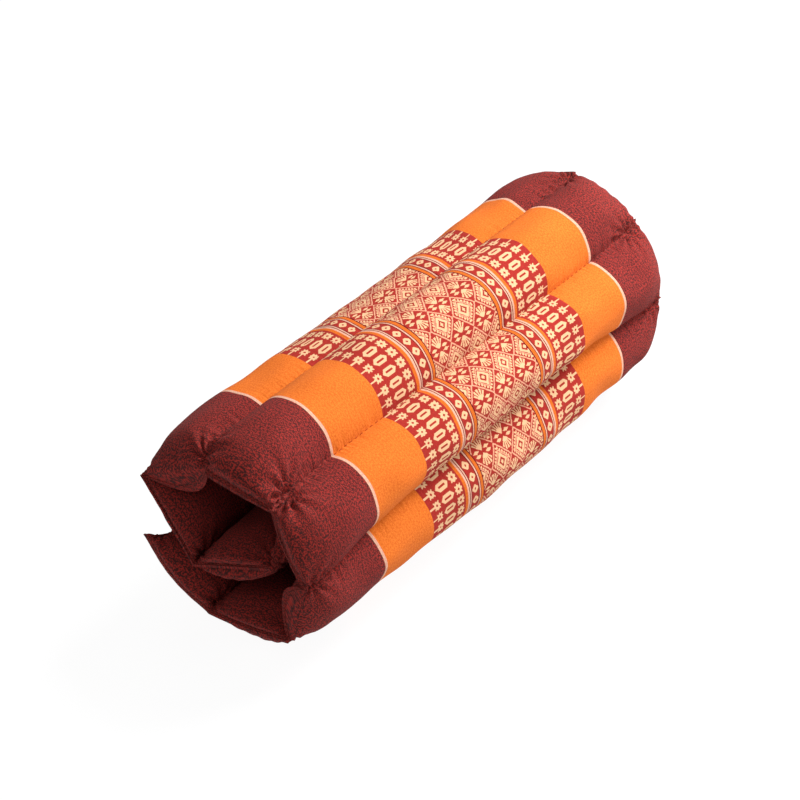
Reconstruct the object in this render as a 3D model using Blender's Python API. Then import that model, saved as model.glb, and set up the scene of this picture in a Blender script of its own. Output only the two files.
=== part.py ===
"""A quilted mat, rolled up: a kapok meditation cushion as it is put away.

The mat is one filled body: a banded face cloth and a plain backing cloth, sewn together
round the edge and through along nine stuffed channels. It is rolled up along the channels,
face outwards, and lies on its second channel.

Axes: +X runs along the roll, from the end that shows its turns to the closed-looking one,
and +Z is up. The origin is under the middle of the roll, on the surface that it lies on.
"""
import math
from collections import namedtuple

import bmesh
import bpy
from mathutils import Matrix, Vector

MM = 0.001

# Finished sizes of the mat
ROLL_LENGTH = 350 * MM        # along the channels, corner ear to corner ear
SEAM_THICKNESS = 2.4 * MM     # two cloths and their turned allowance, sewn flat together
END_ROUNDNESS = 2.4           # a higher value keeps the crown up to nearer the end seam
FREE_EDGE_RUN = 26 * MM       # how far from its corners a short edge is drawn in fully
TUCK_RUN = 45 * MM            # how far from the end an ear's pull reaches

# How the roll lies
TWIST_DEG = 9.0               # the far end is turned by this much against the near end
TWIST_CENTRE = (-2 * MM, 69 * MM)   # y and z of the line that the roll is twisted about
FLAT_DEPTH = 3.0 * MM         # how far the channel below is pressed flat by the weight
PRESSED_SHARE = 0.92          # of the room at an inner fold that two channels fill

# The seams in their order from the outer short edge to the inner one, seen at mid-length,
# as y and z over the surface that the roll lies on.
# near_in and far_in: how far the ear at that end stands back from the end of the roll.
# near_tuck: how far the near ear is pulled towards the middle of the roll.
# draw: how far a short edge is drawn in between its two corner ears.
Seam = namedtuple("Seam", "name y z near_in far_in near_tuck draw")
SEAMS = (
    Seam("outer short edge", 67, 51, 0.0, 2.0, 0.0, 10.0),
    Seam("outer flap to bottom", 24, 16, 1.5, 0.0, 0.0, 0.0),
    Seam("bottom to lower front", -28, 20, 0.0, 2.0, 0.0, 0.0),
    Seam("lower front to front", -49, 64, 1.0, 0.0, 0.0, 0.0),
    Seam("front to upper front", -27, 109, 0.0, 1.0, 0.0, 0.0),
    Seam("upper front to top", 20, 123, 6.0, 0.0, 6.0, 0.0),
    Seam("top to back", 61, 95, 0.0, 6.0, 0.0, 0.0),
    Seam("back to inner bottom", 33, 44, 1.0, 1.0, 0.0, 0.0),
    Seam("inner bottom to inner front", -21, 62, 6.0, 3.0, 0.0, 0.0),
    Seam("inner short edge", -8, 97, 8.0, 5.0, 0.0, 4.0),
)

# The channels between those seams: how high each cloth stands over the line between its
# two seams in the middle of the channel, and over what length it swells up to that height
# from its near and far end seams.
Channel = namedtuple("Channel", "name face_crown back_crown near_taper far_taper")
CHANNELS = (
    Channel("outer flap", 17.0, 10.0, 24, 30),
    Channel("bottom", 20.0, 12.0, 32, 32),
    Channel("lower front", 17.5, 12.0, 50, 32),
    Channel("front", 19.5, 13.0, 36, 27),
    Channel("upper front", 20.5, 12.5, 36, 27),
    Channel("top", 14.0, 12.0, 32, 46),
    Channel("back", 13.0, 13.0, 32, 34),
    Channel("inner bottom", 13.0, 13.0, 32, 34),
    Channel("inner front", 8.0, 11.0, 30, 32),
)

# Steps of the mesh
STEPS_ACROSS = 8              # in each channel, seam to seam
STEPS_MIDDLE = 8              # along the roll, between the two rounded ends
STEPS_END = 9                 # in each rounded end
END_RUN = 40 * MM             # how far a rounded end reaches

# Middle colour of the wine-red cloth at both ends of the roll
CLOTH_COLOUR = (0.24, 0.035, 0.028, 1.0)
CLOTH_ROUGHNESS = 0.85

FACE = 1.0                    # the side of the mat that lies outwards in the roll
BACK = -1.0


def stations():
    """Places along the roll as shares of its length, closer together at the ends."""
    end = END_RUN / ROLL_LENGTH
    near = [end * (1 - math.cos(math.pi / 2 * i / STEPS_END)) for i in range(STEPS_END)]
    middle = [end + (1 - 2 * end) * i / STEPS_MIDDLE for i in range(STEPS_MIDDLE + 1)]
    return near + middle + [1 - share for share in reversed(near)]


def seam_line(share):
    """The y and z of every seam at this share of the roll's length."""
    smooth = share * share * (3 - 2 * share)
    turn = Matrix.Rotation(math.radians(TWIST_DEG * (smooth - 0.5)), 2)
    centre = Vector(TWIST_CENTRE)
    points = [Vector((seam.y * MM, seam.z * MM)) for seam in SEAMS]
    from_corner = min(share, 1 - share) * ROLL_LENGTH / FREE_EDGE_RUN
    drawn = 1 - max(0.0, 1 - from_corner) ** 2
    points[0] += (points[1] - points[0]).normalized() * (SEAMS[0].draw * MM * drawn)
    points[-1] += (points[-2] - points[-1]).normalized() * (SEAMS[-1].draw * MM * drawn)
    tucked = max(0.0, 1 - share * ROLL_LENGTH / TUCK_RUN) ** 2
    for index, seam in enumerate(SEAMS):
        inward = (centre - points[index]).normalized()
        points[index] += inward * (seam.near_tuck * MM * tucked)
    return [centre + turn @ (point - centre) for point in points]


def outward(start, end):
    """The unit normal of a channel's seam-to-seam line, on the side of the face cloth."""
    along = (end - start).normalized()
    return Vector((-along.y, along.x))


def seam_normals(points):
    """The direction in which the two cloths lie apart at each seam."""
    normals = [outward(a, b) for a, b in zip(points, points[1:])]
    shared = [(a + b).normalized() for a, b in zip(normals, normals[1:])]
    return [normals[0]] + shared + [normals[-1]]


def fold_slope(points, index):
    """Height per length that a channel may rise at a seam before it meets its neighbour."""
    if index in (0, len(points) - 1):
        return math.inf
    before = points[index - 1] - points[index]
    after = points[index + 1] - points[index]
    half_angle = before.angle(after) / 2
    if before.x * after.y - before.y * after.x < 0:
        return math.inf
    return math.tan(half_angle) * PRESSED_SHARE


def swell(channel, share):
    """How much of its crown a channel has at this share of the roll's length, 0 to 1."""
    near = min(share * ROLL_LENGTH / (channel.near_taper * MM), 1.0)
    far = min((1 - share) * ROLL_LENGTH / (channel.far_taper * MM), 1.0)
    return math.sqrt(1 - (1 - min(near, far)) ** END_ROUNDNESS)


def arc_place(crown, chord, step):
    """Place along the chord, as a share of it, of one of the evenly spaced points of an arc."""
    half_angle = 2 * math.atan(2 * crown / chord)
    return 0.5 + math.sin(half_angle * (2 * step - 1)) / (2 * math.sin(half_angle))


def arc_height(crown, chord, along):
    """The height of an arc over its chord, as a share of the crown, at a place along it."""
    radius = (chord * chord / 4 + crown * crown) / (2 * crown)
    offset = (along - 0.5) * chord
    return (math.sqrt(radius * radius - offset * offset) - (radius - crown)) / crown


def cloth_point(points, normals, channel_index, step, share, side):
    """One point of the face or the backing."""
    channel = CHANNELS[channel_index]
    start = points[channel_index]
    end = points[channel_index + 1]
    chord = (end - start).length
    crown = (channel.face_crown if side == FACE else channel.back_crown) * MM
    along = arc_place(channel.face_crown * MM, chord, step)

    first = SEAMS[channel_index]
    second = SEAMS[channel_index + 1]
    near_in = (first.near_in + (second.near_in - first.near_in) * along) * MM
    far_in = (first.far_in + (second.far_in - first.far_in) * along) * MM
    x = near_in + (ROLL_LENGTH - near_in - far_in) * share

    rise = crown * arc_height(crown, chord, along) * swell(channel, share)
    if side == BACK:
        room_first = along * chord * fold_slope(points, channel_index)
        room_second = (1 - along) * chord * fold_slope(points, channel_index + 1)
        rise = min(rise, room_first, room_second)
    place = start.lerp(end, along)
    place += side * SEAM_THICKNESS / 2 * normals[channel_index].lerp(
        normals[channel_index + 1], along).normalized()
    place += side * rise * outward(start, end)
    return Vector((x - ROLL_LENGTH / 2, place.x, place.y))


def cloth_grid(body, side):
    """All points of one cloth: a list of rows, each one a station along the roll."""
    rows = []
    for share in stations():
        points = seam_line(share)
        normals = seam_normals(points)
        row = []
        for channel_index in range(len(CHANNELS)):
            for step in range(STEPS_ACROSS):
                row.append(cloth_point(points, normals, channel_index,
                                       step / STEPS_ACROSS, share, side))
        row.append(cloth_point(points, normals, len(CHANNELS) - 1, 1.0, share, side))
        rows.append([body.verts.new(place) for place in row])
    return rows


def add_faces(body, rows, turned):
    """Fill one cloth's grid with faces."""
    for lower, upper in zip(rows, rows[1:]):
        for index in range(len(lower) - 1):
            corners = [lower[index], upper[index], upper[index + 1], lower[index + 1]]
            body.faces.new(corners[::-1] if turned else corners)


def rim(rows):
    """The points round the edge of one cloth, in order."""
    return (rows[0] + [row[-1] for row in rows[1:]]
            + rows[-1][-2::-1] + [row[0] for row in rows[-2:0:-1]])


def press_flat(body):
    """Stand the roll on z = 0, with the lowest channel flat where it lies."""
    lowest = min(vert.co.z for vert in body.verts)
    for vert in body.verts:
        vert.co.z = max(vert.co.z - lowest - FLAT_DEPTH, 0.0)


def centre_on_origin(body):
    """Put the middle of the roll's length and width over the origin."""
    for axis in (0, 1):
        values = [vert.co[axis] for vert in body.verts]
        middle = (min(values) + max(values)) / 2
        for vert in body.verts:
            vert.co[axis] -= middle


def cloth_material():
    material = bpy.data.materials.new("wine red cotton")
    material.use_nodes = True
    shader = material.node_tree.nodes["Principled BSDF"]
    shader.inputs["Base Color"].default_value = CLOTH_COLOUR
    shader.inputs["Roughness"].default_value = CLOTH_ROUGHNESS
    shader.inputs["Metallic"].default_value = 0.0
    return material


def rolled_cushion():
    """The whole mat as one closed body."""
    body = bmesh.new()
    face = cloth_grid(body, FACE)
    back = cloth_grid(body, BACK)
    add_faces(body, face, turned=False)
    add_faces(body, back, turned=True)
    face_rim = rim(face)
    back_rim = rim(back)
    for index in range(len(face_rim)):
        following = (index + 1) % len(face_rim)
        body.faces.new((face_rim[index], face_rim[following],
                        back_rim[following], back_rim[index]))
    bmesh.ops.recalc_face_normals(body, faces=body.faces)
    press_flat(body)
    centre_on_origin(body)
    bmesh.ops.triangulate(body, faces=body.faces, quad_method="SHORT_EDGE")
    mesh = bpy.data.meshes.new("cushion")
    body.to_mesh(mesh)
    body.free()
    mesh.shade_smooth()
    mesh.materials.append(cloth_material())
    cushion = bpy.data.objects.new("cushion", mesh)
    bpy.context.collection.objects.link(cushion)
    return cushion


for thing in list(bpy.data.objects):
    bpy.data.objects.remove(thing)
rolled_cushion()
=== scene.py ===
"""A small quilted mat, rolled up: a kapok meditation cushion as it is put away.

It is built in the order in which it is made: the stuffed mat with its two cloths, the
stitches of its channels and of its edge, and then the table that it lies on, the light
and the camera.
"""
import math
from collections import namedtuple

import bpy
import numpy as np
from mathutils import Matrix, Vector


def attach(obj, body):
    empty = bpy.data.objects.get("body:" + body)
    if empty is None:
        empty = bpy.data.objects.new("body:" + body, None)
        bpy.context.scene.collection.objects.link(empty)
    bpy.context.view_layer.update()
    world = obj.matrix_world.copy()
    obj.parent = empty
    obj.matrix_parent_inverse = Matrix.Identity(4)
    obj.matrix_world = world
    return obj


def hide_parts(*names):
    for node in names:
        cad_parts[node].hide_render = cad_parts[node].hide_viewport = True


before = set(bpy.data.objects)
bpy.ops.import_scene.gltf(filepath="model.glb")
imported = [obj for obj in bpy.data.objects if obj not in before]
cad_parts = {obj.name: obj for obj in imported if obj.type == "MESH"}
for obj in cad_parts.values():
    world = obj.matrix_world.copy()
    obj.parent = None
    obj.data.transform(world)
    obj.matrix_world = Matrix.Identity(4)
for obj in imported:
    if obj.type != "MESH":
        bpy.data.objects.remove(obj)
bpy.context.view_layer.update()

# The stuffed mat. A banded face cloth and a plain backing cloth are sewn together round
# the edge, stuffed with kapok through channels, and sewn through between them. It is
# rolled up along the channels with the face cloth outwards. Lengths are in millimetres.

MM = 0.001                    # in metres
ROLL_LENGTH = 350.0
SEAM_THICKNESS = 2.4          # two cloths and their turned allowance, sewn flat together
SEAM_SET_BACK = 0.5           # how far the seam lies inside the two turned edges
LIP = 2.1                     # the flat edge outside the swell of the channels, at both ends
LIP_PLACES = (0.0, 0.7, 1.4, LIP)                 # from the edge
LIP_THICKNESS = (1.6, 2.2, 1.3, SEAM_THICKNESS)   # thinnest at the closing stitches
CHEEK = 5.0                   # how far a channel's stuffed end is pushed out over its seam
CHEEK_PLACE = 2.4             # where in from the lip the stuffed end stands out most
CHEEK_FULLNESS = 0.7          # a lower value keeps a cheek full to nearer its two seams
END_ROUNDNESS = 2.4           # a higher value keeps the crown up to nearer the end seam
FULL_ROLL = 6.0               # an end seam that has rolled this far is wholly rolled
ROLLED_RUN = 10.0             # over what length from the end a seam's rolling fades
LIP_TURN_DEG = 115.0          # how far the lip of a wholly rolled seam is turned over
LIP_FULLNESS = 0.5            # a lower value turns the lip over to nearer its two seams
TUCKED_UNDER = 0.35           # how far a rolled near seam moves in, as a share of its roll
TUCKED_RUN = 4.0              # over what length that fades
EAR_RUN = 25.0                # over what length an ear's standing back fades, or over more
EAR_RUN_TIMES = 3             # where the near ear stands far back: this many times as far
FREE_EDGE_RUN = 26.0          # how far from its corners a short edge is drawn in fully
TWIST_DEG = 9.0               # the far end is turned by this much against the near end
TWIST_CENTRE = (-2.0, 69.0)   # y and z of the line that the roll is twisted about
MIDDLE_Y = 4.26               # of the form, within 0.1 of the solid's, before it is centred
LOWEST_Z = -3.19              # of its lowest point, likewise, before it is set down
FLAT_DEPTH = 3.0              # how far the channel below is pressed flat by the weight
PRESSED_SHARE = 0.92          # of the room at an inner fold that two channels fill

# The seams from the outer short edge to the inner one, as y and z at mid-length.
# near_in and far_in: how far the ear at that end stands back from the end of the roll.
# draw: how far a short edge is drawn in between its two ears.
# near_pull and far_pull: how far, in y and z, the ear at that end is pulled aside. The one
# fades over the seam's near_run, the other over FAR_RUN.
# shifts: how far, in y and z, a seam lies off its line at each of SHIFT_PLACES.
Seam = namedtuple("Seam", "name y z near_in far_in draw near_pull far_pull shifts near_run",
                  defaults=(0.0, 0.0, 0.0, (0.0, 0.0), (0.0, 0.0), None, 45.0))
SEAMS = (
    Seam("outer short edge", 67, 51, far_in=2.0, draw=9.5, near_pull=(1.3, 0.5)),
    Seam("outer flap to bottom", 24, 16, near_in=0.5, near_pull=(2.0, -2.8)),
    Seam("bottom to lower front", -28, 20, far_in=2.0, near_pull=(-5.0, 0.7),
         shifts=((0, 0), (-1.2, -0.2), (-6, -1), (-6, -1), (-6, 0))),
    Seam("lower front to front", -49, 64, near_in=1.0, far_in=-2.0, near_pull=(1.2, 0.0),
         far_pull=(-2.8, 2.0), shifts=((0, 0), (3.4, 4.8), (4, 5.7), (4, 5.7), (0.5, -2))),
    Seam("front to upper front", -27, 109, near_in=1.5, far_in=-1.8, near_pull=(-4.5, 0.0),
         far_pull=(1.8, 3.0)),
    Seam("upper front to top", 20, 123, near_in=2.5, far_in=0.3, near_pull=(-6.0, -9.5),
         far_pull=(0.0, 3.3), near_run=17.0),
    Seam("top to back", 61, 95, near_in=-0.4, far_in=0.5, near_pull=(1.0, 0.0)),
    Seam("back to inner bottom", 33, 44, near_in=1.0, far_in=1.0),
    Seam("inner bottom to inner front", -21, 62, near_in=6.0, far_in=3.0),
    Seam("inner short edge", -8, 97, near_in=55.0, far_in=5.0, draw=4.0,
         near_pull=(-18.0, 5.0)),
)
SHIFT_PLACES = (0.0, 0.25, 0.5, 0.75, 1.0)      # shares of the roll's length
FAR_RUN = 20.0

# The channels between those seams.
# face_crowns: how high the face cloth stands over the line between its two seams, at each
# of CROWN_PLACES. back_crown: the same for the backing, all along the roll.
# near_taper and far_taper: over what length from that end a channel swells to its crown.
# near_roll and far_roll: how far that end seam has rolled to the backing, or to the face
# cloth where it is less than 0.
# near_cheeks: the share of its cheek that each cloth has at the near end, the face's first.
Channel = namedtuple("Channel", "name face_crowns back_crown near_taper far_taper near_roll "
                     "far_roll near_cheeks", defaults=((1.0, 1.0),))
CHANNELS = (
    Channel("outer flap", (17.0, 17.0, 17.0, 17.0, 17.0), 10.0, 24, 30, -9.0, 4.0),
    Channel("bottom", (20.0, 20.0, 20.0, 20.0, 20.0), 12.0, 42, 32, -1.2, 3.0, (0.15, 1.0)),
    Channel("lower front", (16.0, 18.7, 21.4, 20.2, 19.2), 12.0, 20, 30, 12.0, 4.0),
    Channel("front", (18.5, 19.2, 19.7, 19.2, 18.3), 13.0, 36, 33, 5.4, 4.0, (1.0, 0.2)),
    Channel("upper front", (19.2, 19.0, 19.0, 19.0, 19.0), 12.5, 36, 36, 0.6, 7.5, (1.0, 0.0)),
    Channel("top", (14.2, 12.2, 9.6, 9.3, 11.0), 12.0, 22, 27, 12.0, -2.2),
    Channel("back", (13.0, 13.0, 13.0, 13.0, 13.0), 13.0, 32, 34, 0.3, 4.0, (0.1, 1.0)),
    Channel("inner bottom", (13.0, 13.0, 13.0, 13.0, 13.0), 13.0, 32, 34, 0.0, 2.0),
    Channel("inner front", (8.0, 8.0, 8.0, 8.0, 8.0), 11.0, 30, 32, 0.0, 0.0),
)
CROWN_PLACES = (0.10, 0.25, 0.50, 0.75, 0.95)   # shares of the roll's length
CLOTH_PER_CHANNEL = 67.0      # of the woven pattern, fitted to each channel's own cloth
STEPS_ACROSS = 22             # of the mesh in each channel, seam to seam
CLOSENESS = 1.15              # a higher value sets the columns closer together at the seams
END_ROWS = 18                 # from the lip to where the middle starts
MIDDLE_ROWS = 42
END_RUN = 44.0                # from the end to where the middle starts
FACE = 1.0                    # the cloth that lies outwards in the roll
BACK = -1.0
OPEN_SLOPE = 1000.0           # at a seam where nothing stands in the way


def row_places():
    """Distances of the mesh's rows from the near end, closer together at both ends."""
    run = END_RUN - LIP
    swelling = [LIP + run * (1 - math.cos(math.pi / 2 * i / END_ROWS))
                for i in range(1, END_ROWS + 1)]
    near = list(LIP_PLACES) + swelling
    middle = [END_RUN + (ROLL_LENGTH - 2 * END_RUN) * i / MIDDLE_ROWS
              for i in range(1, MIDDLE_ROWS)]
    return near + middle + [ROLL_LENGTH - place for place in reversed(near)]


def eased(share, places, values):
    """A value that changes smoothly from each of the given places to the next."""
    index = min(max(int(np.searchsorted(places, share)) - 1, 0), len(places) - 2)
    step = (share - places[index]) / (places[index + 1] - places[index])
    step = min(max(step, 0.0), 1.0)
    step = step * step * (3 - 2 * step)
    return values[index] + (values[index + 1] - values[index]) * step


def seam_line(place):
    """The y and z of every seam at this distance from the near end."""
    share = place / ROLL_LENGTH
    smooth = share * share * (3 - 2 * share)
    angle = math.radians(TWIST_DEG * (smooth - 0.5))
    turn = np.array([[math.cos(angle), -math.sin(angle)], [math.sin(angle), math.cos(angle)]])
    centre = np.array(TWIST_CENTRE)
    points = np.array([(seam.y, seam.z) for seam in SEAMS], float)
    for number, seam in enumerate(SEAMS):
        if seam.shifts:
            points[number] += eased(share, SHIFT_PLACES, np.array(seam.shifts))
    from_corner = min(place, ROLL_LENGTH - place) / FREE_EDGE_RUN
    drawn = 1 - max(0.0, 1 - from_corner) ** 2
    for edge, neighbour in ((0, 1), (-1, -2)):
        inward = points[neighbour] - points[edge]
        points[edge] += inward / np.linalg.norm(inward) * SEAMS[edge].draw * drawn
    for number, seam in enumerate(SEAMS):
        near = max(0.0, 1 - place / seam.near_run) ** 2
        far = max(0.0, 1 - (ROLL_LENGTH - place) / FAR_RUN) ** 2
        points[number] += np.array(seam.near_pull) * near + np.array(seam.far_pull) * far
    return centre + (points - centre) @ turn.T


def outward(start, end):
    """The unit normal of a channel's seam-to-seam line, on the side of the face cloth."""
    along = (end - start) / np.linalg.norm(end - start)
    return np.array((-along[1], along[0]))


def seam_normals(points):
    """The direction in which the two cloths lie apart at each seam."""
    normals = [outward(a, b) for a, b in zip(points, points[1:])]
    shared = [a + b for a, b in zip(normals, normals[1:])]
    shared = [normal / np.linalg.norm(normal) for normal in shared]
    return [normals[0]] + shared + [normals[-1]]


def fold_slope(points, index):
    """Height per length that a channel may rise at a seam before it meets its neighbour."""
    if index in (0, len(points) - 1):
        return OPEN_SLOPE
    before = points[index - 1] - points[index]
    after = points[index + 1] - points[index]
    crossed = before[0] * after[1] - before[1] * after[0]
    if crossed < 0:
        return OPEN_SLOPE
    half_angle = math.atan2(crossed, before @ after) / 2
    return math.tan(half_angle) * PRESSED_SHARE


def swell(channel, place):
    """How much of its crown a channel has at this distance from the near end, 0 to 1."""
    near = (place - LIP) / (channel.near_taper - LIP)
    far = (ROLL_LENGTH - place - LIP) / (channel.far_taper - LIP)
    rise = min(max(min(near, far), 0.0), 1.0)
    return math.sqrt(1 - (1 - rise) ** END_ROUNDNESS)


def cheek(from_end):
    """How far towards its end a channel's cloth is pushed by the filling, at mid-channel."""
    beyond = max(from_end - LIP, 0.0) / CHEEK_PLACE
    return CHEEK * beyond * math.exp(1 - beyond)


def uncovered(rolled, side):
    """The share of a cheek that is left on one side where the end seam has rolled to it."""
    return 1 - min(max(-rolled * side, 0.0) / FULL_ROLL, 1.0)


def lip_turn(from_end, rolled):
    """How far the lip's point moves in, and to the rolled side, as the lip turns with its seam."""
    beyond = max(LIP - from_end, 0.0)
    angle = math.radians(LIP_TURN_DEG) * min(abs(rolled) / FULL_ROLL, 1.0)
    return beyond * (1 - math.cos(angle)), beyond * math.sin(angle) * math.copysign(1, rolled)


def column_steps():
    """Places of the mesh's columns on a channel's arc, -1 to 1, closer at the seams."""
    even = np.linspace(-1, 1, STEPS_ACROSS + 1)
    return np.sin(even * CLOSENESS) / math.sin(CLOSENESS)


def arc_height(crown, chord, along):
    """The height of an arc over its chord, in millimetres, at places along the chord."""
    radius = (chord * chord / 4 + crown * crown) / (2 * crown)
    offset = (along - 0.5) * chord
    return np.sqrt(radius * radius - offset * offset) - (radius - crown)


def channel_section(place, channel_index, side, points, normals):
    """The points of one cloth across one channel, seam to seam, at one row."""
    channel = CHANNELS[channel_index]
    start, end = points[channel_index], points[channel_index + 1]
    first, second = SEAMS[channel_index], SEAMS[channel_index + 1]
    chord = np.linalg.norm(end - start)
    share = place / ROLL_LENGTH
    face_crown = eased(share, CROWN_PLACES, channel.face_crowns)
    half_angle = 2 * math.atan(2 * face_crown / chord)
    along = 0.5 + np.sin(half_angle * column_steps()) / (2 * math.sin(half_angle))

    near_in = first.near_in + (second.near_in - first.near_in) * along
    far_in = first.far_in + (second.far_in - first.far_in) * along
    near_run = np.maximum(EAR_RUN, EAR_RUN_TIMES * near_in)
    x = place - ROLL_LENGTH / 2 + near_in * np.exp(-place / near_run)
    x -= far_in * np.exp(-(ROLL_LENGTH - place) / EAR_RUN)
    across = np.sin(math.pi * along)
    near_cheek = cheek(place) * uncovered(channel.near_roll, side)
    near_cheek *= channel.near_cheeks[0 if side == FACE else 1]
    far_cheek = cheek(ROLL_LENGTH - place) * uncovered(channel.far_roll, side)
    x += (far_cheek - near_cheek) * across ** CHEEK_FULLNESS
    near_lip_in, near_lip_down = lip_turn(place, channel.near_roll)
    far_lip_in, far_lip_down = lip_turn(ROLL_LENGTH - place, channel.far_roll)
    lip_share = across ** LIP_FULLNESS
    x += (near_lip_in - far_lip_in) * lip_share
    x += TUCKED_UNDER * max(channel.near_roll, 0.0) * math.exp(-place / TUCKED_RUN) * across

    crown = face_crown if side == FACE else channel.back_crown
    rise = arc_height(crown, chord, along) * swell(channel, place)
    rolled = channel.near_roll * math.exp(-place / ROLLED_RUN)
    rolled += channel.far_roll * math.exp(-(ROLL_LENGTH - place) / ROLLED_RUN)
    if rolled * side < 0:
        rise = np.maximum(rise - abs(rolled) * across, 0.0)
    if side == BACK:
        rise = np.minimum(rise, along * chord * fold_slope(points, channel_index))
        rise = np.minimum(rise, (1 - along) * chord * fold_slope(points, channel_index + 1))
    apart = normals[channel_index][None] * (1 - along[:, None])
    apart = apart + normals[channel_index + 1][None] * along[:, None]
    apart /= np.linalg.norm(apart, axis=1)[:, None]
    flat = start + (end - start) * along[:, None]
    down = rolled * across + (near_lip_down + far_lip_down) * lip_share
    flat = flat - down[:, None] * outward(start, end)
    from_end = min(place, ROLL_LENGTH - place)
    thickness = np.interp(from_end, LIP_PLACES, LIP_THICKNESS)
    flat = flat + side * (thickness / 2 * apart + rise[:, None] * outward(start, end))
    return np.column_stack([x, flat])


def cloth_grid(side):
    """All points of one cloth: rows along the roll, columns from seam to seam."""
    rows = []
    for place in ROWS:
        points = seam_line(place)
        normals = seam_normals(points)
        sections = [channel_section(place, index, side, points, normals)
                    for index in range(len(CHANNELS))]
        rows.append(np.vstack([part[:-1] for part in sections] + [sections[-1][-1:]]))
    return np.array(rows)


ROWS = row_places()
COLUMNS = len(CHANNELS) * STEPS_ACROSS + 1
face_grid = cloth_grid(FACE)
back_grid = cloth_grid(BACK)
both = np.concatenate([face_grid.reshape(-1, 3), back_grid.reshape(-1, 3)])
both -= (0.0, MIDDLE_Y, LOWEST_Z + FLAT_DEPTH)
both[:, 2] = np.maximum(both[:, 2], 0.0)


def grid_faces(offset, turned):
    """The faces of one cloth, as numbers of its points."""
    row, column = np.meshgrid(np.arange(len(ROWS) - 1), np.arange(COLUMNS - 1), indexing="ij")
    corner = offset + row * COLUMNS + column
    quads = np.stack([corner, corner + COLUMNS, corner + COLUMNS + 1, corner + 1], axis=-1)
    quads = quads.reshape(-1, 4)
    return quads[:, ::-1] if turned else quads


def rim(offset):
    """The points round the edge of one cloth, in order."""
    last = len(ROWS) - 1
    loop = [(0, column) for column in range(COLUMNS)]
    loop += [(row, COLUMNS - 1) for row in range(1, last + 1)]
    loop += [(last, column) for column in range(COLUMNS - 2, -1, -1)]
    loop += [(row, 0) for row in range(last - 1, 0, -1)]
    return [offset + row * COLUMNS + column for row, column in loop]


def edge_faces(first, second):
    """The faces of the turned edge between two loops of points."""
    return [(first[index], first[(index + 1) % len(first)],
             second[(index + 1) % len(first)], second[index])
            for index in range(len(first))]


def seam_groove(cloths):
    """The points of the seam between the two cloths, set back from the turned edge."""
    rows = cloths.reshape(2, len(ROWS), COLUMNS, 3).mean(axis=0)
    set_back = rows.copy()
    set_back[0, :, 0] += SEAM_SET_BACK
    set_back[-1, :, 0] -= SEAM_SET_BACK
    for edge, neighbour in ((0, 1), (-1, -2)):
        inward = rows[:, neighbour] - rows[:, edge]
        inward /= np.linalg.norm(inward, axis=1)[:, None]
        set_back[:, edge] += inward * SEAM_SET_BACK
    return set_back.reshape(-1, 3)[rim(0)]


half = len(ROWS) * COLUMNS
groove = list(range(2 * half, 2 * half + len(rim(0))))
face_faces = grid_faces(0, False).tolist() + edge_faces(rim(0), groove)
back_faces = grid_faces(half, True).tolist() + edge_faces(groove, rim(half))
mat_faces = face_faces + back_faces
mat_points = np.concatenate([both, seam_groove(both)])

# The kapok presses both cloths outwards, and the cloth that is too long for its seams
# gathers into puckers there. The cloths are simulated ten times as large as they are,
# because the solver's springs are made for lengths of metres.
SIM_SCALE = 0.01              # metres in the simulation for each millimetre of cloth
SIM_FRAMES = 7
SWELL_PRESSURE = 12.0
CLOTH_EASE = 1.015            # how much longer both cloths are cut than the form needs
CUT_PERCENTILE = 75           # of the lengths between two rows, which is what they are cut to
MOST_MOVE = 3.0               # how far the filling may push the cloth off the form
MOVE_ALONG = 0.2              # the share of the push along the roll that is kept
TINY = 1e-6                   # keeps a length from being divided by zero


def laid_flat(grid, side):
    """One cloth as it is cut: straight rows as long as the form round its crowns needs."""
    along = np.linalg.norm(np.diff(grid, axis=0), axis=2)
    middle = grid[len(ROWS) // 2]
    across = np.linalg.norm(np.diff(middle, axis=0), axis=1)
    x = np.concatenate([[0], np.cumsum(np.percentile(along, CUT_PERCENTILE, axis=1))])
    y = np.concatenate([[0], np.cumsum(across)])
    flat = np.zeros_like(grid)
    flat[..., 0] = x[:, None] * CLOTH_EASE
    flat[..., 1] = y[None, :] * CLOTH_EASE
    flat[..., 2] = side * SEAM_THICKNESS / 2
    return flat.reshape(-1, 3)


def sewn_points():
    """Numbers of the points that a seam holds: the edge with its lip, and the channels."""
    held = np.zeros((2, len(ROWS), COLUMNS), bool)
    held[:, :len(LIP_PLACES)] = True
    held[:, -len(LIP_PLACES):] = True
    held[:, :, ::STEPS_ACROSS] = True
    return np.flatnonzero(held.reshape(-1)).tolist() + groove


def vectors(holder, key):
    """One vector for each point, read from a mesh's own list of them."""
    values = np.empty(len(holder) * 3, np.float32)
    holder.foreach_get(key, values)
    return values.reshape(-1, 3)


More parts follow.
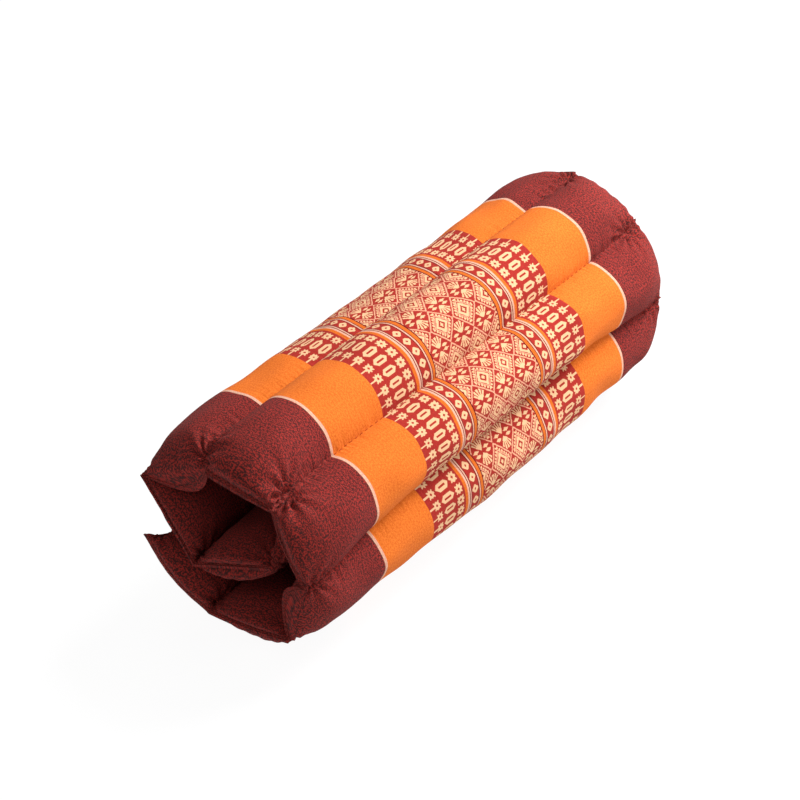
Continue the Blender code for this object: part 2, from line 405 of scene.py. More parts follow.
def swollen(points):
    """The points after the filling has pressed both cloths out."""
    trial = bpy.data.meshes.new("cloth_trial")
    trial.from_pydata((points * SIM_SCALE).tolist(), [], mat_faces)
    body = bpy.data.objects.new("cloth_trial", trial)
    bpy.context.collection.objects.link(body)
    body.shape_key_add(name="rolled")
    cut = body.shape_key_add(name="cut")
    rest = np.concatenate([laid_flat(face_grid, FACE), laid_flat(back_grid, BACK),
                           points[2 * half:]])
    cut.data.foreach_set("co", (rest * SIM_SCALE).astype(np.float32).ravel())
    held = body.vertex_groups.new(name="sewn")
    held.add(sewn_points(), 1.0, "REPLACE")
    cloth = body.modifiers.new("cloth", "CLOTH")
    settings = cloth.settings
    settings.rest_shape_key = cut
    settings.vertex_group_mass = "sewn"
    settings.quality = 6
    settings.mass = 0.1
    settings.tension_stiffness = 15
    settings.compression_stiffness = 15
    settings.shear_stiffness = 5
    settings.bending_stiffness = 0.05
    settings.use_pressure = True
    settings.uniform_pressure_force = SWELL_PRESSURE
    settings.effector_weights.gravity = 0.0
    cloth.collision_settings.use_collision = False
    cloth.point_cache.frame_end = SIM_FRAMES
    scene = bpy.context.scene
    for step in range(1, SIM_FRAMES + 1):
        scene.frame_set(step)
    settled = body.evaluated_get(bpy.context.evaluated_depsgraph_get())
    pressed = vectors(settled.data.vertices, "co")
    scene.frame_set(1)
    bpy.data.objects.remove(body)
    return pressed / SIM_SCALE


moved = swollen(mat_points) - mat_points
moved[:, 0] *= MOVE_ALONG
length = np.linalg.norm(moved, axis=1)
kept = np.minimum(length, MOST_MOVE) / np.maximum(length, TINY)
mat_points = mat_points + moved * kept[:, None]
mat_points[:, 2] = np.maximum(mat_points[:, 2], 0.0)

# Where each point lies on its cloth: along the channels, and across them from the outer
# short edge. Both woven patterns and all puckers are placed by it.
along_cloth = np.array(ROWS) - ROLL_LENGTH / 2
within = (column_steps()[:-1] + 1) / 2
across_cloth = [(index + within) * CLOTH_PER_CHANNEL for index in range(len(CHANNELS))]
across_cloth = np.append(np.concatenate(across_cloth), len(CHANNELS) * CLOTH_PER_CHANNEL)
place_grid = np.stack(np.meshgrid(along_cloth, across_cloth, indexing="ij"), axis=-1)
place_grid = place_grid.reshape(-1, 2)
places = np.concatenate([place_grid, place_grid, place_grid[rim(0)]])
sides = np.concatenate([np.full(half, FACE), np.full(half, BACK), np.zeros(len(groove))])

mesh = bpy.data.meshes.new("quilted_mat")
mesh.from_pydata((mat_points * MM).tolist(), [], mat_faces)
mesh.update()
mesh.shade_smooth()
on_cloth = mesh.attributes.new("on_cloth", "FLOAT_VECTOR", "POINT")
on_cloth.data.foreach_set("vector", np.column_stack([places, sides]).astype(np.float32).ravel())
mesh.polygons.foreach_set("material_index", [0] * len(face_faces) + [1] * len(back_faces))
mat = bpy.data.objects.new("quilted_mat", mesh)
bpy.context.collection.objects.link(mat)


def apply_all(piece):
    """Apply a piece's modifiers."""
    bpy.ops.object.select_all(action="DESELECT")
    piece.select_set(True)
    bpy.context.view_layer.objects.active = piece
    for modifier in list(piece.modifiers):
        bpy.ops.object.modifier_apply(modifier=modifier.name)


ON_SEAM = 0.001               # nearer to a seam than this share of a channel
SEAM_CREASE = 0.8
channel_places = places[:, 1] / CLOTH_PER_CHANNEL
on_seam = np.abs(channel_places - np.round(channel_places)) < ON_SEAM
edge_ends = np.empty(len(mesh.edges) * 2, np.int32)
mesh.edges.foreach_get("vertices", edge_ends)
edge_ends = edge_ends.reshape(-1, 2)
along_seam = on_seam[edge_ends].all(axis=1)
along_seam &= places[edge_ends[:, 0], 1] == places[edge_ends[:, 1], 1]
crease = mesh.attributes.new("crease_edge", "FLOAT", "EDGE")
crease.data.foreach_set("value", (along_seam * SEAM_CREASE).astype(np.float32))
finer = mat.modifiers.new("finer", "SUBSURF")
finer.levels = 1
finer.render_levels = 1
finer.boundary_smooth = "ALL"
apply_all(mat)
mesh = mat.data

# Puckers. The channels' seams start a little way in from both ends, where their cloth is
# gathered into a knot with folds all round. Smaller folds stand along every seam, and the
# kapok inside is lumpy.
KNOT_IN = 9.0                 # how far from the end a knot lies, where nothing else is given
EAR_FOLD = 2.0                # height of the folds that spread from a knot
EAR_REACH = 12.0
EAR_FADE = 1.4                # a higher value ends those folds more sharply at their reach
EAR_RISE = 2.5                # how far from the seam they have their whole height
EAR_FOLDS = 12.0              # in a whole turn round a knot
FOLD_BEND = 0.6               # how far those folds waver, and over what length
FOLD_BEND_LENGTH = 7.0
KNOT_SIZE = 4.0               # inside which the folds die out
KNOT_DENT = 1.6               # how deep a knot lies
KNOT_DENT_SIZE = 4.5
Knot = namedtuple("Knot", "seam strength place")
NEAR_KNOTS = (
    Knot(1, 0.6, 9.0), Knot(2, 0.7, 9.0), Knot(3, 1.2, 6.0), Knot(4, 1.6, 15.0),
    Knot(5, 1.3, 5.5), Knot(6, 0.3, 9.0), Knot(7, 0.8, 9.0),
)
OTHER_NEAR_KNOTS = 1.0        # the strength of those that are not listed
FAR_KNOTS = (Knot(4, 0.9, 13.0), Knot(5, 0.8, 9.0))
OTHER_FAR_KNOTS = 0.6
SEAM_FOLD = 0.8               # height of the puckers along a channel's seam
SEAM_REACH = 6.5
SEAM_PUCKER = 6.5             # length of one pucker along a channel's seam
SEAM_WAVE = 0.95              # radians in each millimetre of the even waves among them
SEAM_WAVE_CHANGE = 0.07       # by how much that differs from seam to seam
SEAM_WAVE_SHARE = 0.7         # height of the even waves against the uneven puckers
SEAM_RISE = 1.8               # how far from the seam the puckers have their whole height
SEAM_FOLD_RUN = 45.0          # over what length from the end they grow lower
MIDDLE_HEIGHT = 0.4           # what is left of their height far from both ends
END_HEIGHT = 0.9              # and how much is added to that at an end
END_FOLD = 0.45               # height of the puckers along an end's closing seam
END_REACH = 10.0
END_PUCKER = 8.0
END_RISE = (1.0, 5.0)         # where from the end they start to rise, and over what length
END_LEAST = 0.2               # what they have of their height before that
LUMP = 0.8                    # height of the kapok's lumps
LUMP_SIZE = 24.0
LUMP_STRETCH = 1.6            # how much longer than wide a lump is
LUMP_RUN = 25.0               # over what length from the lip the lumps grow to their height
LIFT_FADE = 0.7               # a lower value keeps lumps and end puckers up to nearer a seam
PAST_LIP = 3.0                # over what length from the lip knots and puckers grow to theirs
WAVES = 7                     # that cross each other in the noise
SEAM_SEED = 5
END_SEED = 8
LUMP_SEED = 21


def wave_noise(x, y, seed):
    """Smooth noise from about -1 to 1: a few crossed waves of about one unit."""
    total = np.zeros_like(x)
    chance = np.random.default_rng(seed)
    for _ in range(WAVES):
        angle = chance.uniform(0, 2 * math.pi)
        pitch = chance.uniform(0.7, 1.5)
        phase = chance.uniform(0, 2 * math.pi)
        total += np.sin(2 * math.pi * pitch * (x * math.cos(angle) + y * math.sin(angle)) + phase)
    return total / (WAVES / 2)


def knots_at(seam_number, near_end):
    """The strength of the knot at each point's nearest seam, and how far in it lies."""
    strength = np.where(near_end, OTHER_NEAR_KNOTS, OTHER_FAR_KNOTS)
    knot_in = np.full_like(seam_number, KNOT_IN)
    for knots, at_end in ((NEAR_KNOTS, near_end), (FAR_KNOTS, ~near_end)):
        for knot in knots:
            here = (seam_number == knot.seam) & at_end
            strength = np.where(here, knot.strength, strength)
            knot_in = np.where(here, knot.place, knot_in)
    return strength, knot_in


def puckers(u, v, cloth_side):
    """How far the folds and lumps lift the cloth at its places u and v."""
    channel_place = v / CLOTH_PER_CHANNEL
    seam_number = np.round(channel_place)
    from_seam = np.abs(channel_place - seam_number) * CLOTH_PER_CHANNEL
    above = np.sign(channel_place - seam_number)
    from_end = ROLL_LENGTH / 2 - np.abs(u)
    end = np.where(u < 0, 0.0, 1.0)
    # another number for each side of each seam, at each end of each cloth
    seed = seam_number * 3.1 + end * 17.3 + cloth_side * 5.7 + above * 1.3
    inner = np.sin(math.pi * (channel_place - np.floor(channel_place))) ** LIFT_FADE

    strength, knot_in = knots_at(seam_number, u < 0)
    from_knot = np.hypot(from_end - knot_in, from_seam)
    turn = np.arctan2(from_seam, from_end - knot_in)
    bend = FOLD_BEND * np.sin(from_knot / FOLD_BEND_LENGTH + seed)
    fold = np.sin(EAR_FOLDS * turn + seed * 2.3 + bend)
    reach = np.exp(-(from_knot / EAR_REACH) ** EAR_FADE)
    reach = reach * (1 - np.exp(-(from_knot / KNOT_SIZE) ** 2))
    ear = EAR_FOLD * fold * reach * np.minimum(from_seam / EAR_RISE, 1.0) * strength
    dent = -KNOT_DENT * np.exp(-(from_knot / KNOT_DENT_SIZE) ** 2) * strength

    row = wave_noise(u / SEAM_PUCKER, seam_number * 0.37 + above * 0.2, SEAM_SEED)
    row += SEAM_WAVE_SHARE * np.sin(u * (SEAM_WAVE + SEAM_WAVE_CHANGE * np.sin(seed)) + seed)
    close = np.exp(-from_seam / SEAM_REACH) * np.minimum(from_seam / SEAM_RISE, 1.0)
    nearer = MIDDLE_HEIGHT + END_HEIGHT * np.exp(-from_end / SEAM_FOLD_RUN)
    seam = SEAM_FOLD * row * close * nearer

    column = wave_noise(v / END_PUCKER, end * 3.7 + 0.01 * u, END_SEED)
    near = np.exp(-np.maximum(from_end - LIP, 0) / END_REACH)
    near *= np.clip((from_end - END_RISE[0]) / END_RISE[1], END_LEAST, 1.0)
    closing = END_FOLD * column * near * inner

    lump = wave_noise(u / LUMP_SIZE / LUMP_STRETCH, v / LUMP_SIZE + cloth_side, LUMP_SEED)
    lumps = LUMP * lump * inner
    lumps *= np.clip((from_end - LIP) / LUMP_RUN, 0.0, 1.0)
    past_lip = np.clip((from_end - LIP) / PAST_LIP, 0.0, 1.0)
    return (ear + dent + seam) * past_lip + closing + lumps


cloth_places = vectors(mesh.attributes["on_cloth"].data, "vector")
surface = vectors(mesh.vertices, "co")
facing = vectors(mesh.vertex_normals, "vector")
mat_u, mat_v, mat_side = cloth_places.T
lift = puckers(mat_u, mat_v, np.sign(np.round(mat_side))) * np.abs(mat_side)
surface = surface + facing * (lift * MM)[:, None]
surface[:, 2] = np.maximum(surface[:, 2], 0.0)
mesh.vertices.foreach_set("co", surface.astype(np.float32).ravel())
mesh.update()

# The filling has drawn the bands along a little: a place, in channels from the outer short
# edge, and how far they lie to the far end there, in millimetres.
NEAR_DRIFT = ((2.0, 3.0), (2.6, 3.0), (3.0, 0.0), (9.0, 0.0))
FAR_DRIFT = ((4.6, 0.0), (4.85, -2.0), (5.0, 0.0), (5.4, 4.0), (6.0, 4.0), (6.5, 0.0))
DRIFT_RUN = 77.0              # from the middle to where the drift is full
drift = np.where(mat_u < 0, np.interp(mat_v / CLOTH_PER_CHANNEL, *zip(*NEAR_DRIFT)),
                 np.interp(mat_v / CLOTH_PER_CHANNEL, *zip(*FAR_DRIFT)))
drift *= np.minimum(np.abs(mat_u) / DRIFT_RUN, 1.0)
on_face = mat_side > 0.5
cloth_places[:, 0] -= drift * on_face
uv_map = mesh.uv_layers.new(name="cloth")
corner_points = np.empty(len(mesh.loops), np.int32)
mesh.loops.foreach_get("vertex_index", corner_points)
uv_map.data.foreach_set("uv", (cloth_places[corner_points, :2] * MM).ravel())

# The two cloths. Both are woven from cotton: the backing and the ends of the face cloth
# from red threads crossed with black ones, and the face cloth's bands from bright ones.
THREAD = 0.4                  # pitch of the threads
WEAVE_HEIGHT = 0.06
GATHER = 1.8                  # height of the small gathers beside the seams
GATHER_SIZE = (3.0, 14.0)     # of those at a channel's seam, along and across the channels
GATHER_RUN = 6.0              # over what distance from the seam they fade
END_GATHER_SIZE = (16.0, 3.4)
END_GATHER_RUN = 8.0
RIB_TURN = 2.8                # radians in each millimetre of the ribs in the weave
RIB_WAVER = 16.0              # how far the ribs waver, in radians, and over what length
RIB_WAVER_SIZE = (16.0, 16.0)
RIB_SHARE = 0.045             # how strongly the ribs show in the dye
DASH_SIZE = (0.5, 1.3)        # of the dark and bright dashes of the dye
DASH_HEIGHT = 0.12
FLECK_SIZE = (0.45, 0.45)
DASH_SHARE = 0.65             # of the dye's pattern, and the flecks have the rest
FLECK_SHARE = 0.35
DARK_FROM = 0.43              # between these values of the pattern a thread turns dark
DARK_TO = 0.53
WINE_DARKENED = 0.9           # how far the dark threads change each ground's colour
BANDS_DARKENED = 0.28
ORANGE_DARKENED = 0.8
BUMP_STRENGTH = 0.8
WINE_RED = (0.27, 0.0215, 0.0165, 1.0)
WINE_BLACK = (0.022, 0.01, 0.0095, 1.0)
ORANGE = (0.56, 0.12, 0.012, 1.0)
PALE_ORANGE = (0.6, 0.152, 0.019, 1.0)
DEEP_ORANGE = (0.46, 0.08, 0.008, 1.0)
PEACH = (0.6, 0.34, 0.24, 1.0)
CREAM = (0.56, 0.345, 0.19, 1.0)
PINK_CREAM = (0.54, 0.26, 0.16, 1.0)
BRIGHT_RED = (0.3, 0.02, 0.014, 1.0)
MAROON = (0.11, 0.006, 0.006, 1.0)
Band = namedtuple("Band", "name start colour")   # start: from the middle of the bands
BANDS = (
    Band("trellis", 0.0, BRIGHT_RED),
    Band("dark line", 29.4, MAROON),
    Band("orange line", 30.3, ORANGE),
    Band("dark line", 32.4, MAROON),
    Band("white line", 33.0, PEACH),
    Band("dark line", 33.9, MAROON),
    Band("dotted band", 34.5, BRIGHT_RED),
    Band("dark line", 40.9, MAROON),
    Band("white line", 41.5, PEACH),
    Band("dark line", 42.3, MAROON),
    Band("peach line", 43.0, PEACH),
    Band("thin orange line", 44.4, ORANGE),
    Band("flower columns", 46.6, BRIGHT_RED),
    Band("orange band", 77.0, ORANGE),
    Band("peach line", 118.6, PEACH),
    Band("wine-red end", 120.9, WINE_RED),
)
ALL_BANDS = (0.0, 180.0)      # the range of the bands' colour ramp
THIN_LINES = (28.0, 48.0)     # and of the finer one for the thin lines
IN_LINES = (38.0, 9.5)        # where the finer ramp is used: its middle and reach
IN_TRELLIS = 29.6             # the trellis ends here
IN_DOTS = (37.7, 3.2)
IN_COLUMNS = (61.9, 15.2)
IN_ORANGE = (98.0, 21.0)
IN_BANDS = 120.9              # where the wine-red ends start
COLUMN_PITCH = CLOTH_PER_CHANNEL / 9
FIRST_COLUMN = 6.14           # from the outer short edge
BANDS_MIDDLE = 1.4            # how far the middle of the bands lies to the far end


def calc(tree, operation, *terms):
    """A Math node over numbers or other nodes' outputs; returns its output."""
    node = tree.nodes.new("ShaderNodeMath")
    node.operation = operation
    for socket, term in zip(node.inputs, terms):
        if isinstance(term, (int, float)):
            socket.default_value = term
        else:
            tree.links.new(term, socket)
    return node.outputs[0]


def around(tree, value, middle, reach):
    """1 where the value is within reach of middle, else 0."""
    return calc(tree, "COMPARE", value, middle, reach)


def both_of(tree, *masks):
    """1 where all masks are 1."""
    total = masks[0]
    for mask in masks[1:]:
        total = calc(tree, "MULTIPLY", total, mask)
    return total


def any_of(tree, *masks):
    """1 where any mask is 1."""
    total = masks[0]
    for mask in masks[1:]:
        total = calc(tree, "MAXIMUM", total, mask)
    return total


def minus(tree, mask, hole):
    """The mask without the hole."""
    return calc(tree, "MULTIPLY", mask, calc(tree, "SUBTRACT", 1.0, hole))


def new_group(name, inputs, outputs):
    """An empty shader node group with float inputs and outputs."""
    group = bpy.data.node_groups.new(name, "ShaderNodeTree")
    for socket in inputs:
        group.interface.new_socket(socket, in_out="INPUT", socket_type="NodeSocketFloat")
    for socket in outputs:
        group.interface.new_socket(socket, in_out="OUTPUT", socket_type="NodeSocketFloat")
    return group, group.nodes.new("NodeGroupInput"), group.nodes.new("NodeGroupOutput")


def placed(tree, group, *terms):
    """A group placed in a material, with its inputs given in order; returns its outputs."""
    node = tree.nodes.new("ShaderNodeGroup")
    node.node_tree = group
    for socket, term in zip(node.inputs, terms):
        if isinstance(term, (int, float)):
            socket.default_value = term
        else:
            tree.links.new(term, socket)
    return node.outputs


def mixed(tree, amount, first, second):
    """A colour between two, each a tuple or an output."""
    node = tree.nodes.new("ShaderNodeMix")
    node.data_type = "RGBA"
    for socket, term in zip((node.inputs["Factor"], node.inputs[6], node.inputs[7]),
                            (amount, first, second)):
        if isinstance(term, (int, float, tuple)):
            socket.default_value = term
        else:
            tree.links.new(term, socket)
    return node.outputs[2]


# One repeat of the trellis. Rings are counted in shares, from 0 in the middle of a flower
# to 2 in the middle of a nested diamond. A name in AT holds a middle and a reach.
TRELLIS_LENGTH = 20.0         # along the channels
TRELLIS_WIDTH = CLOTH_PER_CHANNEL / 3
FLOWER_TO = 0.90
LINE_AT = (1.05, 0.055)
TEETH_FROM = 1.15
TEETH_TO = 1.36
THIN_LINE_AT = (1.43, 0.04)
RING_AT = (1.63, 0.10)
HEART_FROM = 1.87
RUNGS = 4.0                   # in half a side of a diamond, with one tooth in each
TOOTH_AT = (0.5, 0.38)        # in one rung's width
TOOTH_SLANT = 0.36            # a higher value gives sharper teeth
WRIST = 0.7                   # where a flower's two hands start, from its middle
PALM_REACH = 3.2              # from the wrist, as for the fingers
FINGER_REACH = 7.2
FINGER_TURN = 18.5            # a higher value gives more fingers
FINGER_GAP = -0.30            # a higher value gives thinner fingers
HAND_SPREAD = 0.88            # radians, to each side
LEAF_PLACE = (4.6, 1.25)      # from the flower's middle, along and across
LEAF_SLANT = 0.42             # a leaf's width over its length
LEAF_SIZE = 1.05              # half its width


def trellis_group():
    """Flowers and nested diamonds between crossed ladders, all in cream on red."""
    tree, given, made = new_group("trellis", ("Along", "Across"), ("Cream", "Pink"))
    a = calc(tree, "PINGPONG", given.outputs["Along"], TRELLIS_LENGTH / 2)
    b = calc(tree, "PINGPONG", given.outputs["Across"], TRELLIS_WIDTH / 2)
    a_share = calc(tree, "DIVIDE", a, TRELLIS_LENGTH / 2)
    b_share = calc(tree, "DIVIDE", b, TRELLIS_WIDTH / 2)
    rings = calc(tree, "ADD", a_share, b_share)
    rungs = calc(tree, "FRACT", calc(tree, "MULTIPLY", calc(
        tree, "ADD", calc(tree, "SUBTRACT", a_share, b_share), 1.0), RUNGS))
    slant = calc(tree, "MULTIPLY", calc(tree, "ABSOLUTE", calc(
        tree, "SUBTRACT", rungs, 0.5)), TOOTH_SLANT)

    line = around(tree, rings, *LINE_AT)
    thin_line = around(tree, rings, *THIN_LINE_AT)
    tooth_from = calc(tree, "ADD", slant, TEETH_FROM)
    teeth = both_of(tree, calc(tree, "GREATER_THAN", rings, tooth_from),
                    calc(tree, "LESS_THAN", rings, TEETH_TO), around(tree, rungs, *TOOTH_AT))
    ring = around(tree, rings, *RING_AT)
    heart = calc(tree, "GREATER_THAN", rings, HEART_FROM)

    from_wrist = calc(tree, "SUBTRACT", b, WRIST)
    turn = calc(tree, "ARCTAN2", a, from_wrist)
    reach = calc(tree, "SQRT", calc(tree, "ADD", calc(tree, "POWER", a, 2.0),
                                    calc(tree, "POWER", from_wrist, 2.0)))
    on_finger = calc(tree, "COSINE", calc(tree, "MULTIPLY", turn, FINGER_TURN))
    fingers = both_of(tree, calc(tree, "GREATER_THAN", on_finger, FINGER_GAP),
                      calc(tree, "LESS_THAN", reach, FINGER_REACH))
    palm = calc(tree, "LESS_THAN", reach, PALM_REACH)
    hand = both_of(tree, any_of(tree, fingers, palm),
                   calc(tree, "LESS_THAN", turn, HAND_SPREAD),
                   calc(tree, "GREATER_THAN", b, WRIST))
    leaf_a, leaf_b = [calc(tree, "ABSOLUTE", calc(tree, "SUBTRACT", place, middle))
                      for place, middle in zip((a, b), LEAF_PLACE)]
    leaf = calc(tree, "LESS_THAN", calc(
        tree, "ADD", calc(tree, "MULTIPLY", leaf_a, LEAF_SLANT), leaf_b), LEAF_SIZE)
    flower = both_of(tree, any_of(tree, hand, leaf),
                     calc(tree, "LESS_THAN", rings, FLOWER_TO))

    tree.links.new(any_of(tree, flower, ring, heart, teeth), made.inputs["Cream"])
    tree.links.new(any_of(tree, line, thin_line), made.inputs["Pink"])
    return tree


# One column of motifs and one dot. Places are from the middle of the bands.
LARGE_STAR = (51.0, 2.9)      # a flower's place, and half its size
SMALL_STAR = (70.4, 2.6)
STAR_SQUARE = 0.80            # in halves of a star's size, as all of these: its square
STAR_BLUNT = 1.25             # the cut corners of that square
STAR_CORNERS = 0.92           # its four corner points
CORNER_WIDTH = 0.24
TIP_WIDTH = 0.22              # of its four petals
STAR_HEART = 0.36
HEXAGON_PLACE = 60.8
HEXAGON_HALF_WIDTH = 2.4
HEXAGON_HALF_LENGTH = 5.5
SLIT_HALF_WIDTH = 0.6
SLIT_HALF_LENGTH = 2.8
STEM_HALF_WIDTH = 0.5
STEM_AT = (74.6, 2.2)
DOT_PLACE = 37.7
DOT_SIZE = 3.1                # from its middle to a corner
DOT_BLUNT = 2.6               # to the ends of its blunt corners
DOT_HEART = 0.9


def column_group():
    """One column of motifs: a flower, a slit hexagon, a small flower and its stem."""
    tree, given, made = new_group("flower columns", ("Along", "Across"), ("Cream",))
    u = given.outputs["Along"]
    c = calc(tree, "PINGPONG", given.outputs["Across"], COLUMN_PITCH / 2)

    def from_place(place):
        """The distance from a place along the channels."""
        return calc(tree, "ABSOLUTE", calc(tree, "SUBTRACT", u, place))

    def star(place, size):
        """A flower with four petals, four corners and a red heart, in shares of its size."""
        d = from_place(place)
        larger = calc(tree, "MAXIMUM", d, c)
        smaller = calc(tree, "MINIMUM", d, c)
        square = both_of(tree, calc(tree, "LESS_THAN", larger, size * STAR_SQUARE),
                         calc(tree, "LESS_THAN", calc(tree, "ADD", d, c), size * STAR_BLUNT))
        corners = both_of(tree, calc(tree, "LESS_THAN", larger, size * STAR_CORNERS),
                          calc(tree, "LESS_THAN", calc(tree, "SUBTRACT", larger, smaller),
                               size * CORNER_WIDTH))
        tips = both_of(tree, calc(tree, "LESS_THAN", smaller, size * TIP_WIDTH),
                       calc(tree, "LESS_THAN", larger, size))
        dot = calc(tree, "LESS_THAN", calc(tree, "ADD", d, c), size * STAR_HEART)
        return minus(tree, any_of(tree, square, corners, tips), dot)

    d = from_place(HEXAGON_PLACE)
    hexagon = both_of(tree, calc(tree, "LESS_THAN", c, HEXAGON_HALF_WIDTH),
                      calc(tree, "LESS_THAN", calc(tree, "ADD", d, c), HEXAGON_HALF_LENGTH))
    slit = both_of(tree, calc(tree, "LESS_THAN", c, SLIT_HALF_WIDTH),
                   calc(tree, "LESS_THAN", d, SLIT_HALF_LENGTH))
    hexagon = minus(tree, hexagon, slit)
    stem = both_of(tree, calc(tree, "LESS_THAN", c, STEM_HALF_WIDTH), around(tree, u, *STEM_AT))
    tree.links.new(any_of(tree, star(*LARGE_STAR), hexagon, star(*SMALL_STAR), stem),
                   made.inputs["Cream"])
    return tree


def dot_group():
    """One dot of the dotted band: a cream lozenge with a red heart."""
    tree, given, made = new_group("dots", ("Along", "Across"), ("Cream",))
    d = calc(tree, "ABSOLUTE", calc(tree, "SUBTRACT", given.outputs["Along"], DOT_PLACE))
    c = calc(tree, "PINGPONG", given.outputs["Across"], COLUMN_PITCH / 2)
    lozenge = both_of(tree, calc(tree, "LESS_THAN", calc(tree, "ADD", d, c), DOT_SIZE),
                      calc(tree, "LESS_THAN", calc(tree, "MAXIMUM", d, c), DOT_BLUNT))
    heart = calc(tree, "LESS_THAN", calc(tree, "ADD", d, c), DOT_HEART)
    tree.links.new(minus(tree, lozenge, heart), made.inputs["Cream"])
    return tree


def threads_group():
    """The relief of a plain weave and of the gathers at seams, and the threads' uneven dye."""
    tree, given, made = new_group("threads", ("Along", "Across"),
                                  ("Height", "Fleck", "Dash"))
    u, v = given.outputs["Along"], given.outputs["Across"]

    def noise(size, detail):
        """Soft noise with a size along the channels and one across them."""
        place = tree.nodes.new("ShaderNodeCombineXYZ")
        tree.links.new(calc(tree, "DIVIDE", u, size[0]), place.inputs["X"])
        tree.links.new(calc(tree, "DIVIDE", v, size[1]), place.inputs["Y"])
        node = tree.nodes.new("ShaderNodeTexNoise")
        node.noise_dimensions = "2D"
        node.inputs["Scale"].default_value = 1.0
        node.inputs["Detail"].default_value = detail
        tree.links.new(place.outputs[0], node.inputs["Vector"])
        return node.outputs["Fac"]

    def gathered(size, distance, run):
        """The relief of the gathers beside one kind of seam."""
        fade = calc(tree, "EXPONENT", calc(tree, "DIVIDE", distance, -run))
        return calc(tree, "MULTIPLY", calc(tree, "MULTIPLY", noise(size, 1.0), fade), GATHER)

    across = calc(tree, "COSINE", calc(tree, "MULTIPLY", v, 2 * math.pi / THREAD))
    along = calc(tree, "COSINE", calc(tree, "MULTIPLY", u, 2 * math.pi / THREAD))
    weave = calc(tree, "MULTIPLY", calc(tree, "MULTIPLY", along, across), WEAVE_HEIGHT)
    from_seam = calc(tree, "PINGPONG", v, CLOTH_PER_CHANNEL / 2)
    from_end = calc(tree, "SUBTRACT", ROLL_LENGTH / 2, calc(tree, "ABSOLUTE", u))
    gathers = gathered(GATHER_SIZE, from_seam, GATHER_RUN)
    end_gathers = gathered(END_GATHER_SIZE, from_end, END_GATHER_RUN)
    waver = calc(tree, "MULTIPLY", noise(RIB_WAVER_SIZE, 0.0), RIB_WAVER)
    rib = calc(tree, "COSINE", calc(tree, "ADD", calc(tree, "MULTIPLY", u, RIB_TURN), waver))
    dash = calc(tree, "ADD", noise(DASH_SIZE, 1.0), calc(tree, "MULTIPLY", rib, RIB_SHARE))
    relief = calc(tree, "ADD", weave, calc(tree, "MULTIPLY", dash, DASH_HEIGHT))
    height = calc(tree, "ADD", relief, calc(tree, "ADD", gathers, end_gathers))
    tree.links.new(height, made.inputs["Height"])
    tree.links.new(noise(FLECK_SIZE, 1.0), made.inputs["Fleck"])
    tree.links.new(dash, made.inputs["Dash"])
    return tree


threads = threads_group()


def colour_ramp(tree, far, low, high):
    """The bands' colours between two distances from their middle, without blending."""
    ramp = tree.nodes.new("ShaderNodeValToRGB")
    ramp.color_ramp.interpolation = "CONSTANT"
    elements = ramp.color_ramp.elements
    while len(elements) > 1:
        elements.remove(elements[-1])
    elements[0].position = 0.0
    elements[0].color = BRIGHT_RED
    for band in BANDS:
        if low < band.start < high:
            elements.new((band.start - low) / (high - low)).color = band.colour
    share = calc(tree, "DIVIDE", calc(tree, "SUBTRACT", far, low), high - low)
    tree.links.new(share, ramp.inputs["Fac"])
    return ramp.outputs["Color"]


def by_threads(tree, place):
    """The middle of the thread that a place lies on."""
    thread = calc(tree, "FLOOR", calc(tree, "DIVIDE", place, THREAD))
    return calc(tree, "MULTIPLY", calc(tree, "ADD", thread, 0.5), THREAD)


def banded_ground(tree, u, v, dark, wine):
    """The face cloth's colour: bands and motifs, and the wine-red cloth at both ends."""
    far = calc(tree, "ABSOLUTE", calc(tree, "SUBTRACT", u, BANDS_MIDDLE))
    pick = by_threads(tree, far)
    warp = by_threads(tree, calc(tree, "SUBTRACT", v, FIRST_COLUMN))
    ground = mixed(tree, around(tree, far, *IN_LINES), colour_ramp(tree, far, *ALL_BANDS),
                   colour_ramp(tree, far, *THIN_LINES))
    worn = mixed(tree, calc(tree, "MULTIPLY", dark, BANDS_DARKENED), ground, MAROON)
    orange = mixed(tree, calc(tree, "MULTIPLY", dark, ORANGE_DARKENED), PALE_ORANGE, DEEP_ORANGE)
    ground = mixed(tree, around(tree, far, *IN_ORANGE), worn, orange)
    trellis = placed(tree, trellis_group(), by_threads(tree, u),
                     calc(tree, "SUBTRACT", warp, COLUMN_PITCH))
    columns = placed(tree, column_group(), pick, warp)
    dots = placed(tree, dot_group(), pick, warp)
    in_trellis = calc(tree, "LESS_THAN", far, IN_TRELLIS)
    cream = any_of(tree, both_of(tree, trellis["Cream"], in_trellis),
                   both_of(tree, columns["Cream"], around(tree, far, *IN_COLUMNS)),
                   both_of(tree, dots["Cream"], around(tree, far, *IN_DOTS)))
    pink = both_of(tree, trellis["Pink"], in_trellis)
    ground = mixed(tree, pink, ground, PINK_CREAM)
    ground = mixed(tree, cream, ground, CREAM)
    return mixed(tree, calc(tree, "LESS_THAN", far, IN_BANDS), wine, ground)


